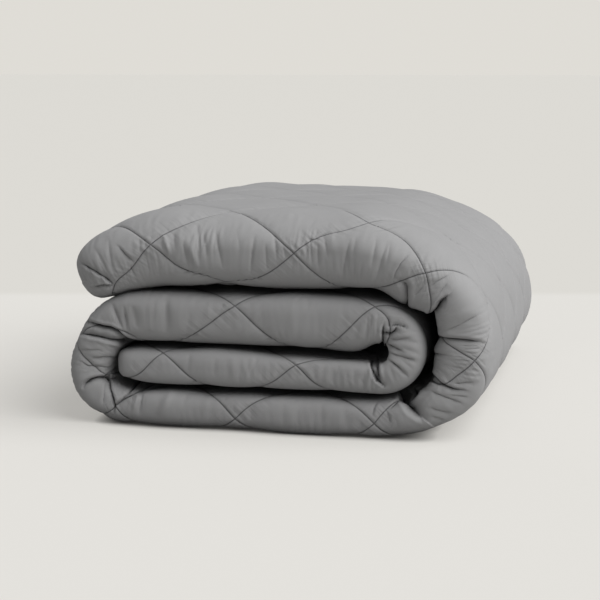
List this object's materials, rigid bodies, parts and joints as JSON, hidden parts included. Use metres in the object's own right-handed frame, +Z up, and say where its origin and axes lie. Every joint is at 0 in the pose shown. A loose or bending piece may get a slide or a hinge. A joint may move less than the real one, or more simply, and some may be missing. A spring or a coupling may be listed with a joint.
{
  "type": "folded duvet",
  "caption": "Grey quilted duvet with diamond stitching, folded in half along its length and rolled up into a soft low stack that lies on its underside.",
  "frame": {"origin": "centre of the bounding box's footprint, on the surface that the duvet lies on", "axes": "+X along the layers towards the big turn of the roll, +Y from the half fold at the front to the open edges at the back, +Z up"},
  "size_m": [0.572, 0.6894, 0.2851],
  "materials": {
    "cover": "matte"
  },
  "bodies": {
    "root": {"duvet": "cover"}
  },
  "joints": []
}
